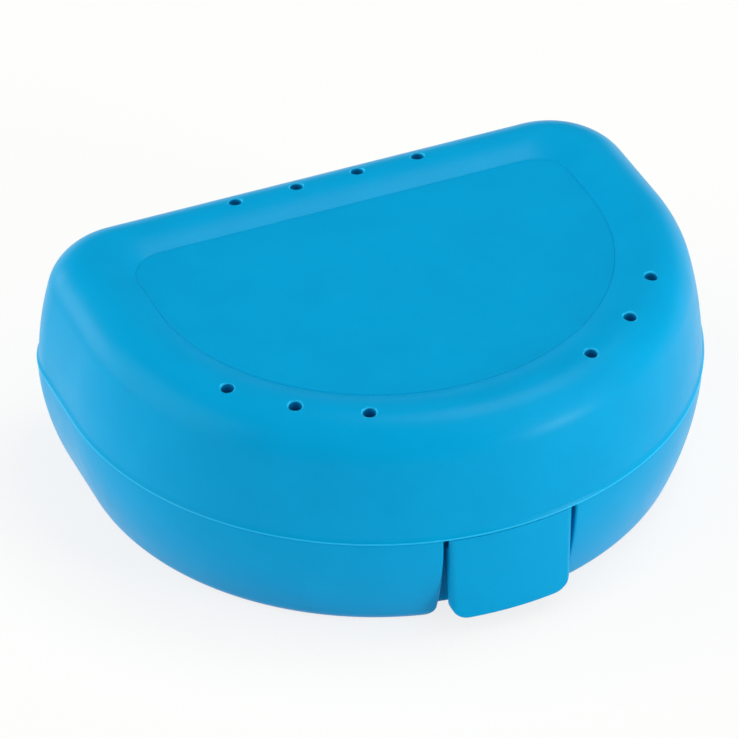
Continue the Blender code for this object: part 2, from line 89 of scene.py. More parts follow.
# Lid
LID_WALL = 0.0016
LID_RIM_WALL = 0.0009
FLANGE_PROUD = 0.0003           # how far the rim stands out from the foot of the wall
FLANGE_HEIGHT = 0.0006
FLARE_HEIGHT = 0.00095          # of the hollow flare that runs out to the rim, at 45 degrees there
FLANGE_FACE = 0.00014           # height of the rim's upright face
# height of the band at the foot of the lid's rim where a highlight is painted
LID_HIGHLIGHT_HEIGHT = 0.00024
LID_LOW_DRAFT = math.radians(2.5)
LID_HIGH_DRAFT = math.radians(14.8)
SHOULDER_HEIGHT = 0.0043
LID_WALL_TOP = CASE_HEIGHT - SHOULDER_HEIGHT
LEAN_START = LID_BOTTOM + FLANGE_HEIGHT     # the wall's lean grows steadily from here to its top
LEAN_RISE = LID_WALL_TOP - LEAN_START
CREST_INSET = 0.0072
PANEL_INSET = 0.01125
PANEL_DROP = 0.00116
PANEL_HEIGHT = CASE_HEIGHT - PANEL_DROP
PANEL_SLOPE_POWER = 1.7
CREASE_WIDTH = 0.00012          # of the fine groove where the slope meets the panel
CREASE_DEPTH = 0.00005

# Vent holes
VENT_RADIUS = 0.0008
VENT_INSET = 0.0066
VENT_ROUND = 0.00022
VENT_HIGHLIGHT_SHARE = 1.3           # reach of the painted highlight round a hole, as a share of its round edge
VENT_DRAFT = math.radians(10.0)     # the bore widens towards the inside
VENT_BACK_PITCH = 0.00814
VENT_BACK_COUNT = 4
VENT_FRONT_START = math.radians(25.1)
VENT_FRONT_STEP = math.radians(15.0)
VENT_FRONT_COUNT = 3

# Base
BASE_WALL = 0.0016
BASE_FLOOR = 0.0016
BASE_RIM_INSET = 0.0001
BASE_SWEEP = 0.0025             # how far the wall curves in on its way down
BASE_SWEEP_POWER = 1.9
BASE_ROUND = 0.0015
FLOOR_FILLET = 0.0030
LIP_INSET = 0.0015
LIP_WALL = 0.00085
LIP_HEIGHT = 0.0022
LIP_INNER = LIP_INSET + LIP_WALL
LIP_TOP = BASE_TOP + LIP_HEIGHT
REBATE_TOP = LIP_TOP + SEAT_GAP     # of the step inside the lid's rim, which takes the lip
REBATE_INSET = FLANGE_PROUD + LID_RIM_WALL

# Latch recess
RECESS_SIDE_PLAY = 0.0003       # on each side of the tab
RECESS_HALF_WIDTH = TAB_HALF_WIDTH + RECESS_SIDE_PLAY
RECESS_SIDE_DRAFT = math.radians(1.2)
RECESS_INSET = 0.0054
RECESS_OUTER_FILLET = 0.0003
RECESS_INNER_FILLET = 0.0010
RECESS_FILLET_SHARE = 0.85      # the most of the recess's depth that its two fillets take up
RECESS_CORNER_RADIUS = 0.0021
RECESS_BACK_ROUND = 0.0008
RECESS_WALL = 0.0016
RECESS_ROOF = 0.0015
RECESS_ROOF_SLOPE = 0.0006
RECESS_ROOF_INSET = 0.0034
CATCH_HALF_WIDTH = 0.0055
CATCH_LOW = 0.0070
CATCH_TIP_HEIGHT = 0.0005

# Latch tab
TAB_WALL = 0.0016
TAB_ROOT_WALL = 0.0008
TAB_ROOT_HEIGHT = 0.0012
TAB_FACE_LEAN = 0.0004
TAB_NARROWING = 0.00024         # of each side, from the top to the bottom
TAB_CORNER_RADIUS = 0.0022
TAB_SIDE_ROUND = 0.0006
TAB_EDGE_ROUND = 0.00025
TAB_EDGE_SHARE = 0.25           # the most of the tab's thickness that the round of an edge takes up
TAB_TOP_ROUND = 0.00015
HOOK_HALF_WIDTH = 0.0050
HOOK_OVERLAP = 0.0007
HOOK_PLAY = 0.0005
HOOK_TIP_HEIGHT = 0.0007

# Hinge
KNUCKLE_RADIUS = 0.002099       # a hair under the solid's, whose round is made of flats
KNUCKLE_HALF_WIDTH = 0.0127
EAR_WIDTH = 0.0040
EAR_LOW = 0.0050
EAR_TOP_DROP = 0.0014
ARM_LOW_RISE = 0.0016
ARM_HEIGHT = 0.0045
PIN_RADIUS = 0.0010
PLATE_ROUND = 0.00025

# Fineness of the meshes
FRONT_STEPS = 160
CORNER_STEPS = 24
WALL_STEPS = 14
SHOULDER_STEPS = 22
SLOPE_STEPS = 12
FILLET_STEPS = 10
ARC_STEPS = 5
TAB_STEPS = 14
HOLE_SIDES = 40
BARREL_STEPS = 36
SHARP_ANGLE = math.radians(21.0)

# Camera
VIEW_AZIMUTH = math.radians(-23.585)
VIEW_ELEVATION = math.radians(36.935)
VIEW_ROLL = math.radians(0.153)
VIEW_DISTANCE = 0.59505
VIEW_AIM = Vector((-0.003221, 0.004035, 0.0140))
VIEW_WIDTH = 0.08974            # what the picture spans at the aim
SENSOR_WIDTH = 36.0             # the one size in millimetres
CLIP_SHARE = 0.01               # of the view distance: what is nearer isn't seen

# Colours
BLUE = (0.0, 0.334, 0.698, 1.0)
BLUE_LIGHT = (0.0, 0.346, 0.720, 1.0)
BLUE_PAINTED_HIGHLIGHT = (0.02, 0.50, 0.92, 1.0)     # a painted highlight along the lid's edge and round the vents
FLOOR_GREY = (0.93, 0.93, 0.93, 1.0)
WHITE = (1.0, 1.0, 1.0, 1.0)

HIGHLIGHT_MARK = "painted_highlight_faces"         # a value on each face: one where a highlight is painted, and zero elsewhere

# Plastic: the scales of its clouds, gloss and grain are waves per metre
CLOUD_SCALE = 160.0
CLOUD_DETAIL = 3.0
GLOSS_SCALE = 420.0
GLOSS_DETAIL = 1.0
GRAIN_SCALE = 3000.0
GRAIN_DETAIL = 1.0
GRAIN_DEPTH = 0.000012
NOISE_LOW = 0.35                # the noise from here to the next value is spread over the whole range
NOISE_HIGH = 0.65
ROUGHNESS_LOW = 0.29
ROUGHNESS_HIGH = 0.33
PLASTIC_IOR = 1.11              # low, because the fine grain keeps the real plastic's edges from shining
PLASTIC_SPECULAR = 0.85

# Floor
FLOOR_ROUGHNESS = 0.9
FLOOR_REACH = 4.0               # from its middle to each side
FLOOR_WHITE_SHARE = 0.8         # of the floor as it is seen: plain white, and the rest takes the shadow

# Light
ROOM_LEVEL = 0.37               # of the studio's even light
CEILING_LEVEL = 0.04            # of the studio above the white sweep, as gloss shows it
SWEEP_LOW = math.sin(math.radians(-2.0))    # the white sweep behind the case is whole up to here
SWEEP_HIGH = math.sin(math.radians(8.0))    # and fades out up to here
ROOM_TINT = (0.92, 0.95, 1.0, 1.0)
LAMP_TINT = (1.0, 1.0, 0.84)
LAMP_REACH = 0.9                # from the case to each lamp
# Bearing and height of each lamp in degrees, its side, and how bright a white card facing it would show
LAMPS = {
    "overhead": (104.0, 69.0, 0.40, 0.33),
    "right_high": (54.0, 40.0, 0.80, 0.22),
    "right_low": (46.0, 19.0, 0.50, 0.10),
    "spark": (38.5, 9.5, 0.17, 0.34),
    "left": (-104.0, 16.0, 0.90, 0.71),
    "back_left": (-143.0, 7.0, 0.45, 0.36),
}


# Curves, outlines and solids

def conic(start, corner, end, steps, weight):
    """Points of a round corner between two lines that meet at corner, without its start."""
    points = []
    for step in range(1, steps + 1):
        t = step / steps
        first = (1 - t) ** 2
        middle = 2 * weight * t * (1 - t)
        last = t * t
        whole = first + middle + last
        pairs = zip(start, corner, end)
        points.append(tuple((first * a + middle * b + last * c) / whole for a, b, c in pairs))
    return points


def quarter_round(radius):
    """How far a quarter circle falls short of its corner, across and along, at each of its points."""
    shortfalls = []
    for step in range(ARC_STEPS + 1):
        angle = QUARTER_TURN * step / ARC_STEPS
        shortfalls.append((radius * (1 - math.sin(angle)), radius * (1 - math.cos(angle))))
    return shortfalls


def rounded(corners):
    """A path through corners of (inset, height, radius), with an arc where there is a radius."""
    points = []
    for index, (inset, height, radius) in enumerate(corners):
        if radius == 0.0:
            points.append((inset, height))
            continue
        here = Vector((inset, height))
        back = Vector(corners[index - 1][:2]) - here
        ahead = Vector(corners[(index + 1) % len(corners)][:2]) - here
        half_angle = back.angle(ahead) * HALF
        cut = min(radius / math.tan(half_angle), back.length * HALF, ahead.length * HALF)
        start = here + back.normalized() * cut
        end = here + ahead.normalized() * cut
        points.append(tuple(start))
        points += conic(start, here, end, ARC_STEPS, math.sin(half_angle))
    return points


def outline(inset, height):
    """The D outline drawn in by inset, counter-clockwise from the back right corner's side end."""
    half_width = HALF_WIDTH - inset
    corner = max(BACK_CORNER_RADIUS - inset, PANEL_CORNER_RADIUS)
    corner_y = BACK_Y - inset - corner
    points = []
    for side, start in ((1, 0.0), (-1, QUARTER_TURN)):
        for step in range(CORNER_STEPS + 1):
            angle = start + step / CORNER_STEPS * QUARTER_TURN
            x = side * (half_width - corner) + corner * math.cos(angle)
            points.append(Vector((x, corner_y + corner * math.sin(angle), height)))
    for step in range(FRONT_STEPS + 1):
        turn = math.pi * (step / FRONT_STEPS - HALF)
        y = FRONT_CENTRE_Y - (FRONT_REACH - inset) * math.cos(turn)
        points.append(Vector((half_width * math.sin(turn), y, height)))
    return points


def front_y(inset, x):
    """Where the front curve, drawn in by inset, stands at x."""
    share = x / (HALF_WIDTH - inset)
    return FRONT_CENTRE_Y - (FRONT_REACH - inset) * math.sqrt(1 - share * share)


def loft(name, sections):
    """A closed solid through sections of equal point counts, with both ends capped."""
    mesh = bpy.data.meshes.new(name)
    build = bmesh.new()
    rows = [[build.verts.new(point) for point in section] for section in sections]
    for lower, upper in zip(rows, rows[1:]):
        for index in range(len(lower)):
            after = (index + 1) % len(lower)
            build.faces.new((lower[index], lower[after], upper[after], upper[index]))
    build.faces.new(rows[0][::-1])
    build.faces.new(rows[-1])
    bmesh.ops.recalc_face_normals(build, faces=build.faces)
    build.to_mesh(mesh)
    build.free()
    piece = bpy.data.objects.new(name, mesh)
    bpy.context.scene.collection.objects.link(piece)
    return piece


def front_sweep(name, profile, stations):
    """A profile of inset and height pairs carried along the front curve through the stations in x."""
    sections = [[Vector((x, front_y(inset, x), z)) for inset, z in profile] for x in stations]
    return loft(name, sections)


def even_stations(half_width):
    """Evenly spaced places from one side to the other."""
    return [half_width * (2 * step / TAB_STEPS - 1) for step in range(TAB_STEPS + 1)]


def combine(target, other, operation):
    """Join another solid to the target, or cut it away, and remove the other."""
    change = target.modifiers.new(other.name, "BOOLEAN")
    change.operation = operation
    change.object = other
    change.solver = "EXACT"
    graph = bpy.context.evaluated_depsgraph_get()
    mesh = bpy.data.meshes.new_from_object(target.evaluated_get(graph))
    target.modifiers.clear()
    old = target.data
    target.data = mesh
    bpy.data.meshes.remove(old)
    bpy.data.objects.remove(other, do_unlink=True)


# Lid

def lid_draft(height):
    """How far the outer wall leans at a height."""
    return LID_LOW_DRAFT + (LID_HIGH_DRAFT - LID_LOW_DRAFT) * (height - LEAN_START) / LEAN_RISE


def lid_wall_inset(height):
    """The outer wall's inset at a height, from the lean summed on the way up."""
    bend = (LID_HIGH_DRAFT - LID_LOW_DRAFT) / LEAN_RISE
    lean = lid_draft(height)
    return FLANGE_PROUD + (math.log(math.cos(LID_LOW_DRAFT)) - math.log(math.cos(lean))) / bend


def panel_slope(share):
    """A point of the slope from the crest, where share is zero, down to the panel, where it is one."""
    inset = CREST_INSET + (PANEL_INSET - CREST_INSET) * share
    return inset, CASE_HEIGHT - PANEL_DROP * share ** PANEL_SLOPE_POWER


def lid_shell_profile():
    """From the flare up the wall and over the shoulder to the crest."""
    start = LID_BOTTOM + FLARE_HEIGHT
    points = []
    for step in range(WALL_STEPS + 1):
        height = start + (LID_WALL_TOP - start) * step / WALL_STEPS
        points.append((lid_wall_inset(height), height))
    wall_end = points[-1]
    reach = wall_end[0] + math.tan(LID_HIGH_DRAFT) * SHOULDER_HEIGHT
    crest = (CREST_INSET, CASE_HEIGHT)
    return points + conic(wall_end, (reach, CASE_HEIGHT), crest, SHOULDER_STEPS, CONIC_WEIGHT)


def lid_rim_profile():
    """The foot of the rim, its edge and its hollow flare, from the rebate outwards and up to the wall."""
    face_top = LID_BOTTOM + FLANGE_FACE
    bend = face_top + FLANGE_PROUD
    corners = [(REBATE_INSET, REBATE_TOP, 0.0), (REBATE_INSET, LID_BOTTOM, FINE_ROUND)]
    corners += [(0.0, LID_BOTTOM, RIM_ROUND), (0.0, face_top, RIM_ROUND), (FLANGE_PROUD, bend, 0.0)]
    edge = rounded(corners)[1:-1]
    flare_corner = (lid_wall_inset(bend), bend)
    wall_start = LID_BOTTOM + FLARE_HEIGHT
    flare_end = (lid_wall_inset(wall_start), wall_start)
    return edge + conic(edge[-1], flare_corner, flare_end, FILLET_STEPS, CONIC_WEIGHT)[:-1]


def drawn_in(points, distance):
    """A profile moved square to itself, towards the inside."""
    moved = []
    for index, point in enumerate(points):
        before = points[max(index - 1, 0)]
        after = points[min(index + 1, len(points) - 1)]
        along = Vector((after[0] - before[0], after[1] - before[1])).normalized()
        moved.append((point[0] + along.y * distance, point[1] - along.x * distance))
    return moved


def lid_profile():
    """The shell in one path: from the ceiling down inside, round the rim, and up outside to the panel."""
    ceiling = PANEL_HEIGHT - LID_WALL
    slope = [panel_slope(step / SLOPE_STEPS) for step in range(1, SLOPE_STEPS + 1)]
    upper = lid_shell_profile() + slope[:-1]
    inside = [point for point in drawn_in(upper, LID_WALL) if point[1] > REBATE_TOP]
    step_inset = lid_wall_inset(REBATE_TOP) + LID_WALL / math.cos(lid_draft(REBATE_TOP))
    path = [(PANEL_INSET + FLAT_BORDER, ceiling), (PANEL_INSET, ceiling)] + inside[::-1]
    path += rounded([(step_inset, inside[0][1], 0.0), (step_inset, REBATE_TOP, FINE_ROUND),
                     (REBATE_INSET, REBATE_TOP, FINE_ROUND), (REBATE_INSET, LID_BOTTOM, 0.0)])[1:-1]
    path += lid_rim_profile() + lid_shell_profile() + slope
    path.append((PANEL_INSET + CREASE_WIDTH * HALF, PANEL_HEIGHT - CREASE_DEPTH))
    path.append((PANEL_INSET + CREASE_WIDTH, PANEL_HEIGHT))
    path.append((PANEL_INSET + FLAT_BORDER, PANEL_HEIGHT))
    return path


def vent_places():
    """Plan place of each vent hole, with the direction in which the crest falls off outwards."""
    places = []
    for index in range(VENT_BACK_COUNT):
        x = (index - (VENT_BACK_COUNT - 1) * HALF) * VENT_BACK_PITCH
        places.append((Vector((x, BACK_Y - VENT_INSET)), Vector((0.0, 1.0))))
    across = HALF_WIDTH - VENT_INSET
    reach = FRONT_REACH - VENT_INSET
    for side in (-1, 1):
        for index in range(VENT_FRONT_COUNT):
            angle = VENT_FRONT_START + index * VENT_FRONT_STEP
            place = Vector((side * across * math.sin(angle), FRONT_CENTRE_Y - reach * math.cos(angle)))
            outward = Vector((place.x / across ** 2, (place.y - FRONT_CENTRE_Y) / reach ** 2))
            places.append((place, outward.normalized()))
    return places


def crest_height(inset):
    """The lid's outer surface over an inset near the crest."""
    path = lid_shell_profile()
    for (inset_a, height_a), (inset_b, height_b) in zip(path, path[1:]):
        if inset_a <= inset <= inset_b:
            return height_a + (height_b - height_a) * (inset - inset_a) / (inset_b - inset_a)
    return CASE_HEIGHT


def vent_cutter(place, outward):
    """A drill with a flare that rounds the hole's edge and lies along the crest where it stands."""
    rise_inwards = crest_height(VENT_INSET + VENT_RADIUS) - crest_height(VENT_INSET - VENT_RADIUS)
    fall = rise_inwards * HALF / VENT_RADIUS
    surface = crest_height(VENT_INSET)
    deep = LID_WALL + OVERRUN
    rings = [(VENT_RADIUS + deep * math.tan(VENT_DRAFT), -deep), (VENT_RADIUS, -VENT_ROUND)]
    rings += [(VENT_RADIUS + wider, -deeper) for deeper, wider in quarter_round(VENT_ROUND)[1:]]
    rings.append((VENT_RADIUS + 2 * VENT_ROUND, OVERRUN))
    sections = []
    for radius, rise in rings:
        ring = []
        for side in range(HOLE_SIDES):
            angle = math.tau * side / HOLE_SIDES
            offset = Vector((math.cos(angle), math.sin(angle))) * radius
            tilt = -fall * offset.dot(outward)
            ring.append(Vector((place.x + offset.x, place.y + offset.y, surface + rise + tilt)))
        sections.append(ring)
    return loft("vent", sections)


# Hinge

def hinge_outline(low, high, shrink):
    """A round knuckle with straight flanks to a root at low and high, drawn in by shrink."""
    radius = KNUCKLE_RADIUS - shrink
    low = (low[0], low[1] + shrink)
    high = (high[0], high[1] - shrink)
    angles = []
    for point, side in ((low, 1), (high, -1)):
        away = Vector((point[0] - HINGE_Y, point[1] - HINGE_Z))
        angles.append(math.atan2(away.y, away.x) + side * math.acos(radius / away.length))
    first, last = angles
    while last < first:
        last += math.tau
    points = [high, low]
    for step in range(BARREL_STEPS + 1):
        angle = first + (last - first) * step / BARREL_STEPS
        points.append((HINGE_Y + radius * math.cos(angle), HINGE_Z + radius * math.sin(angle)))
    return points


def hinge_plate(name, low, high, x_from, x_to):
    """A plate across the hinge line with rounded rims on both cheeks."""
    x_from, x_to = sorted((x_from, x_to))
    levels = quarter_round(PLATE_ROUND)
    sections = []
    for shrink, depth in levels:
        sections.append([Vector((x_from + depth, y, z)) for y, z in hinge_outline(low, high, shrink)])
    for shrink, depth in levels[::-1]:
        sections.append([Vector((x_to - depth, y, z)) for y, z in hinge_outline(low, high, shrink)])
    return loft(name, sections)


def hinge_rod(name, radius, half_length, end_round):
    """A bar on the hinge's axis with rounded ends."""
    ends = [(half_length - shorter, radius - thinner) for shorter, thinner in quarter_round(end_round)]
    stations = [(-x, r) for x, r in ends[::-1]] + ends
    sections = []
    for x, r in stations:
        ring = []
        for side in range(HOLE_SIDES):
            angle = math.tau * side / HOLE_SIDES
            ring.append(Vector((x, HINGE_Y + r * math.cos(angle), HINGE_Z + r * math.sin(angle))))
        sections.append(ring)
    return loft(name, sections)


def hinge_root(inset_at, height, wall):
    """A point in the middle of a wall at the back."""
    return BACK_Y - inset_at(height) - wall * HALF, height


# Base

def base_wall_inset(height):
    """The base's outer wall: nearly upright at the rim, curving in towards the bottom."""
    share = (BASE_TOP - height) / (BASE_TOP - BASE_ROUND)
    return BASE_RIM_INSET + BASE_SWEEP * min(max(share, 0.0), 1.0) ** BASE_SWEEP_POWER


def base_foot_profile():
    """The rounded bottom edge, from the flat underside up to the wall."""
    wall_foot = (base_wall_inset(BASE_ROUND), BASE_ROUND)
    slope = BASE_SWEEP * BASE_SWEEP_POWER / (BASE_TOP - BASE_ROUND)
    corner = (wall_foot[0] + slope * BASE_ROUND, 0.0)
    floor_edge = (wall_foot[0] + BASE_ROUND, 0.0)
    downwards = conic(wall_foot, corner, floor_edge, FILLET_STEPS, CONIC_WEIGHT)
    return downwards[::-1] + [wall_foot]


def base_inner_inset(height):
    """The base's inner wall: upright below the lip, and lower down one thickness inside the outer."""
    return max(LIP_INNER, base_wall_inset(height) + BASE_WALL)


def base_profile():
    """The tray in one path: from the underside up the wall, over rim and lip, and down to the floor."""
    foot = base_foot_profile()
    path = [(foot[0][0] + FLAT_BORDER, 0.0)] + foot
    top = BASE_TOP - EDGE_ROUND
    for step in range(1, WALL_STEPS):
        height = BASE_ROUND + (top - BASE_ROUND) * step / WALL_STEPS
        path.append((base_wall_inset(height), height))
    path += rounded([(base_wall_inset(top), top - EDGE_ROUND, 0.0), (BASE_RIM_INSET, BASE_TOP, RIM_ROUND),
                     (LIP_INSET, BASE_TOP, FINE_ROUND), (LIP_INSET, LIP_TOP, EDGE_ROUND),
                     (LIP_INNER, LIP_TOP, EDGE_ROUND), (LIP_INNER, BASE_TOP, 0.0)])[1:]
    low = BASE_FLOOR + FLOOR_FILLET
    for step in range(1, WALL_STEPS + 1):
        height = BASE_TOP + (low - BASE_TOP) * step / WALL_STEPS
        path.append((base_inner_inset(height), height))
    wall_foot = path[-1]
    corner = (base_inner_inset(BASE_FLOOR), BASE_FLOOR)
    floor_edge = (corner[0] + FLOOR_FILLET, BASE_FLOOR)
    path += conic(wall_foot, corner, floor_edge, FILLET_STEPS, CONIC_WEIGHT)
    path.append((floor_edge[0] + FLAT_BORDER, BASE_FLOOR))
    return path


# Latch recess

def recess_half_width(height):
    """Half the recess's width at a height. Its sides open a little on the way up."""
    return RECESS_HALF_WIDTH + math.tan(RECESS_SIDE_DRAFT) * max(height, 0.0)


def round_off(radius, height):
    """How far a wall draws back at a height, where it meets the underside in a round."""
    lift = radius - min(max(height, 0.0), radius)
    return radius - math.sqrt(radius * radius - lift * lift)


def skin_inset(height):
    """The base's outer skin at any height, its rounded bottom edge included."""
    if height >= BASE_ROUND:
        return base_wall_inset(height)
    profile = base_foot_profile()
    for (inset_a, height_a), (inset_b, height_b) in zip(profile, profile[1:]):
        if height_a <= height <= height_b:
            share = (height - height_a) / (height_b - height_a)
            return inset_a + (inset_b - inset_a) * share
    return profile[0][0]


def recess_mouth(half_width, skin, fillet):
    """The outer fillet, from the recess's side round to the base's skin, and a way out in front of it."""
    inset = skin + fillet
    centre_x = half_width + fillet
    centre_y = front_y(inset, centre_x)
    pull_x = centre_x / (HALF_WIDTH - inset) ** 2
    pull_y = (centre_y - FRONT_CENTRE_Y) / (FRONT_REACH - inset) ** 2
    end_angle = math.tau + math.atan2(pull_y, pull_x)
    points = []
    for step in range(FILLET_STEPS + 1):
        angle = math.pi + (end_angle - math.pi) * step / FILLET_STEPS
        points.append((centre_x + fillet * math.cos(angle), centre_y + fillet * math.sin(angle)))
    outer = fillet + OVERRUN
    points.append((centre_x + outer * math.cos(end_angle), centre_y + outer * math.sin(end_angle)))
    points.append((0.0, FRONT_Y - 2 * OVERRUN))
    return points


def recess_section(back_inset, height):
    """One level of the recess's cutter: its back wall, inner fillets, sides, outer fillets and front."""
    half_width = recess_half_width(height) + round_off(RECESS_CORNER_RADIUS, height)
    back = back_inset + round_off(RECESS_BACK_ROUND, height)
    skin = skin_inset(height)
    room = (back - skin) * RECESS_FILLET_SHARE
    limit = min(room / (RECESS_OUTER_FILLET + RECESS_INNER_FILLET), 1.0)
    inner = RECESS_INNER_FILLET * limit
    straight = half_width - inner
    right = []
    for step in range(FILLET_STEPS + 1):
        x = straight * step / FILLET_STEPS
        right.append((x, front_y(back, x)))
    back_y = right[-1][1]
    for step in range(1, FILLET_STEPS + 1):
        angle = QUARTER_TURN * (1 - step / FILLET_STEPS)
        right.append((straight + inner * math.cos(angle), back_y - inner + inner * math.sin(angle)))
    right += recess_mouth(half_width, skin, RECESS_OUTER_FILLET * limit)
    left = [(-x, y) for x, y in right[1:-1]]
    return [Vector((x, y, height)) for x, y in right + left[::-1]]


def recess_cutter():
    """The recess as a solid: deep below its sloping roof, and a slot for the tab in front of it."""
    roof_front = BASE_TOP - RECESS_ROOF
    roof_back = roof_front - RECESS_ROOF_SLOPE
    levels = [-OVERRUN]
    for step in range(2 * FILLET_STEPS):
        angle = QUARTER_TURN * step / (2 * FILLET_STEPS)
        levels.append(RECESS_CORNER_RADIUS * (1 - math.cos(angle)))
    low = RECESS_CORNER_RADIUS
    levels += [low + (roof_back - low) * step / WALL_STEPS for step in range(WALL_STEPS + 1)]
    sections = [recess_section(RECESS_INSET, height) for height in levels]
    for height in (roof_front, BASE_TOP, LIP_TOP + OVERRUN):
        sections.append(recess_section(RECESS_ROOF_INSET, height))
    return loft("latch_recess", sections)


def recess_housing():
    """The wall round the recess, inside the base. Its top lies just under the rim's."""
    floor = BASE_FLOOR * HALF
    top = BASE_TOP - EDGE_ROUND * HALF
    heights = [top + (floor - top) * step / WALL_STEPS for step in range(WALL_STEPS + 1)]
    inner = RECESS_INSET + RECESS_WALL
    profile = [(skin_inset(height) + BASE_WALL * HALF, height) for height in heights]
    profile += [(inner, floor), (inner, top)]
    half_width = recess_half_width(BASE_TOP) + RECESS_WALL
    return front_sweep("recess_housing", profile, even_stations(half_width))


def lip_block():
    """The lip round the tab's slot, solid as yet: the slot is cut through it with the recess."""
    outer = LIP_INSET + LIP_WALL * HALF
    inner = RECESS_ROOF_INSET + LIP_WALL
    foot = BASE_TOP - RECESS_ROOF * HALF
    top = LIP_TOP - EDGE_ROUND * HALF
    profile = [(outer, foot), (inner, foot), (inner, top), (outer, top)]
    return front_sweep("lip_block", profile, even_stations(recess_half_width(BASE_TOP) + LIP_WALL))


def catch_ridge():
    """The ridge on the recess's back wall that holds the hook down. Its top slopes at 45 degrees."""
    bury = RECESS_INSET + RECESS_WALL * HALF
    tip = RECESS_ROOF_INSET
    top = CATCH_LOW + CATCH_TIP_HEIGHT + bury - tip
    profile = rounded([(bury, CATCH_LOW, 0.0), (tip, CATCH_LOW, FINE_ROUND),
                       (tip, CATCH_LOW + CATCH_TIP_HEIGHT, FINE_ROUND), (bury, top, 0.0)])
    return front_sweep("catch_ridge", profile, even_stations(CATCH_HALF_WIDTH))


# The three mouldings

def make_base():
    """The tray with its recess, catch ridge and hinge ears."""
    sections = [outline(inset, height) for inset, height in base_profile()]
    base = loft("base_moulding", sections)
    combine(base, recess_housing(), "UNION")
    combine(base, lip_block(), "UNION")
    combine(base, recess_cutter(), "DIFFERENCE")
    combine(base, catch_ridge(), "UNION")
    low = hinge_root(base_wall_inset, EAR_LOW, BASE_WALL)
    high = hinge_root(base_wall_inset, BASE_TOP - EAR_TOP_DROP, BASE_WALL)
    ear_start = KNUCKLE_HALF_WIDTH + SEAT_GAP
    for side in (-1, 1):
        ear = hinge_plate("hinge_ear", low, high, side * ear_start, side * (ear_start + EAR_WIDTH))
        combine(base, ear, "UNION")
    hole_end = ear_start + EAR_WIDTH + OVERRUN
    combine(base, hinge_rod("pin_hole", PIN_RADIUS + SEAT_GAP, hole_end, FINE_ROUND), "DIFFERENCE")
    return base


def make_lid():
    """The cover with its hinge arm, stub pins and vent holes."""
    sections = [outline(inset, height) for inset, height in lid_profile()]
    lid = loft("lid_moulding", sections)
    low = hinge_root(lid_wall_inset, LID_BOTTOM + ARM_LOW_RISE, LID_RIM_WALL)
    high = hinge_root(lid_wall_inset, low[1] + ARM_HEIGHT, LID_RIM_WALL)
    combine(lid, hinge_plate("hinge_arm", low, high, -KNUCKLE_HALF_WIDTH, KNUCKLE_HALF_WIDTH), "UNION")
    combine(lid, hinge_rod("stub_pins", PIN_RADIUS, KNUCKLE_HALF_WIDTH + EAR_WIDTH, EDGE_ROUND), "UNION")
    for place, outward in vent_places():
        combine(lid, vent_cutter(place, outward), "DIFFERENCE")
    return lid


def tab_profile(bottom, draw):
    """The tab's section: a face that leans out, and inside a thin root that widens to the full wall.

    Near the tab's sides the section is drawn in by draw, which rounds them.
    """
    lean = TAB_FACE_LEAN * (TAB_TOP - bottom) / (TAB_TOP - TAB_BOTTOM)
    root = max(TAB_ROOT_WALL - draw, TAB_ROOT_WALL * HALF)
    root_low = TAB_TOP - TAB_ROOT_HEIGHT
    widened = root_low - TAB_WALL + TAB_ROOT_WALL
    edge = min(TAB_EDGE_ROUND, (TAB_WALL - 2 * draw) * TAB_EDGE_SHARE)
    corners = [(min(draw, root * HALF), TAB_TOP, TAB_TOP_ROUND), (draw - lean, bottom, edge)]
    corners += [(TAB_WALL - draw - lean, bottom, edge), (TAB_WALL - draw, widened, FINE_ROUND)]
    corners += [(root, root_low, FINE_ROUND), (root, TAB_TOP, FINE_ROUND)]
    return rounded(corners)


def tab_sections():
    """Sections of the tab from left to right, lifted near the sides to round its lower corners."""
    flat = TAB_HALF_WIDTH - TAB_CORNER_RADIUS
    right = []
    for step in range(TAB_STEPS, 0, -1):
        angle = QUARTER_TURN * step / TAB_STEPS
        reach = TAB_CORNER_RADIUS * math.sin(angle)
        over = max(reach - TAB_CORNER_RADIUS + TAB_SIDE_ROUND, 0.0)
        draw = TAB_SIDE_ROUND - math.sqrt(TAB_SIDE_ROUND * TAB_SIDE_ROUND - over * over)
        right.append((flat + reach, TAB_BOTTOM + TAB_CORNER_RADIUS * (1 - math.cos(angle)), draw))
    middle = [(x, TAB_BOTTOM, 0.0) for x in even_stations(flat)]
    stations = [(-x, bottom, draw) for x, bottom, draw in right] + middle + right[::-1]
    sections = []
    for x, bottom, draw in stations:
        section = []
        for inset, z in tab_profile(bottom, draw):
            narrowing = TAB_NARROWING * (TAB_TOP - z) / (TAB_TOP - TAB_BOTTOM)
            place = x * (1 - narrowing / TAB_HALF_WIDTH)
            section.append(Vector((place, front_y(inset, place), z)))
        sections.append(section)
    return sections


def latch_hook():
    """The hook on the tab's inner face, under the catch ridge. Its underside slopes at 45 degrees."""
    bury = TAB_WALL * HALF
    tip = RECESS_ROOF_INSET + HOOK_OVERLAP
    top = CATCH_LOW - HOOK_PLAY
    tip_low = top - HOOK_TIP_HEIGHT
    profile = rounded([(bury, tip_low - tip + bury, 0.0), (tip, tip_low, FINE_ROUND),
                       (tip, top, FINE_ROUND), (bury, top, 0.0)])
    return front_sweep("latch_hook", profile, even_stations(HOOK_HALF_WIDTH))


def make_tab():
    """The tongue with its hook."""
    tab = loft("tab_moulding", tab_sections())
    combine(tab, latch_hook(), "UNION")
    return tab


# Finish and plastic

def on_vent_edge(mesh, face, centres):
    """Whether a face near the crest belongs to the round edge of a vent hole."""
    centre = min(centres, key=lambda place: (face.center.xy - place).length)
    reach = max((mesh.vertices[index].co.xy - centre).length for index in face.vertices)
    return VENT_RADIUS < reach < VENT_RADIUS + VENT_ROUND * VENT_HIGHLIGHT_SHARE


